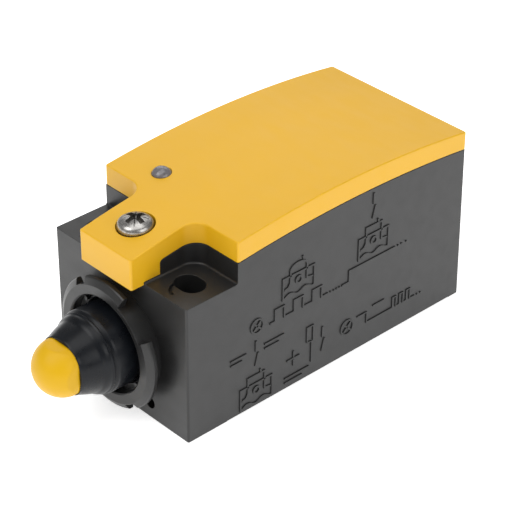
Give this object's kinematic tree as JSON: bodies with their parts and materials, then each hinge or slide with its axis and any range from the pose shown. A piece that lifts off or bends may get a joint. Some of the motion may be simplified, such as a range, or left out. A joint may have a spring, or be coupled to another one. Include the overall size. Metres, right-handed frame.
{
  "type": "limit switch",
  "caption": "Electronic limit switch: narrow plastic enclosure, domed plunger in a rubber boot, bayonet collar, slotted mounting corners, screwed cover with lamp, threaded cable entry.",
  "frame": {"origin": "midway between the two mounting slots, on the mounting face", "axes": "+X from the plunger to the cable entry, +Z from the mounting face to the cover, +Y across the width"},
  "size_m": [0.0776, 0.031, 0.0337],
  "materials": {
    "housing_grey": "fine spark-eroded texture, glass-filled",
    "cover_yellow": "fine texture",
    "tip_yellow": "smooth moulded",
    "boot_rubber": "satin moulded rubber",
    "gasket_rubber": "matt",
    "carrier_plastic": "smooth",
    "bush_polymer": "smooth natural polymer",
    "screw_steel": "bright zinc plated",
    "spring_steel": "drawn wire",
    "insert_brass": "turned",
    "magnet_metal": "nickel plated",
    "board_laminate": "solder resist over glass laminate",
    "chip_black": "moulded epoxy",
    "capacitor_can": "bare can",
    "resistor_ceramic": "glazed ceramic",
    "led_body": "cast resin",
    "terminal_plastic": "light grey polyamide",
    "terminal_plating": "tin plated",
    "lens_clear": "smoked clear",
    "button_cap": "smooth"
  },
  "bodies": {
    "enclosure": {"housing": "housing_grey", "bayonet_collar": "housing_grey", "sealing_boot": "boot_rubber", "guide_bush": "bush_polymer", "return_spring": "spring_steel", "screw_insert": "insert_brass", "circuit_board": "board_laminate", "board_screws": "screw_steel", "hall_sensor": "chip_black", "microcontroller": "chip_black", "output_transistors": "chip_black", "filter_capacitor": "capacitor_can", "chip_resistors": "resistor_ceramic", "status_led": "led_body", "set_button_case": "carrier_plastic", "terminal_block": "terminal_plastic", "terminal_clamps": "terminal_plating", "terminal_screws": "screw_steel", "terminal_pins": "terminal_plating"},
    "plunger": {"plunger_tip": "tip_yellow", "plunger_stem": "carrier_plastic", "magnet": "magnet_metal", "stem_clip": "spring_steel"},
    "cover": {"cover": "cover_yellow", "cover_gasket": "gasket_rubber", "cover_screw": "screw_steel", "screw_retainer": "carrier_plastic", "light_guide": "lens_clear"},
    "set_button": {"set_button_cap": "button_cap"}
  },
  "joints": [
    {"name": "plunger_press", "type": "slide", "parent": "enclosure", "child": "plunger", "axis": [1, 0, 0], "range_m": [0, 0.0055], "stiffness_N_per_m": 1300, "springref_m": -0.0008, "deforming": ["sealing_boot", "return_spring"]},
    {"name": "cover_lift", "type": "slide", "parent": "enclosure", "child": "cover", "axis": [0, 0, 1], "range_m": [0, 0.04]},
    {"name": "set_button_press", "type": "slide", "parent": "enclosure", "child": "set_button", "axis": [0, 0, -1], "range_m": [0, 0.00025], "stiffness_N_per_m": 800, "springref_m": -0.0005}
  ]
}
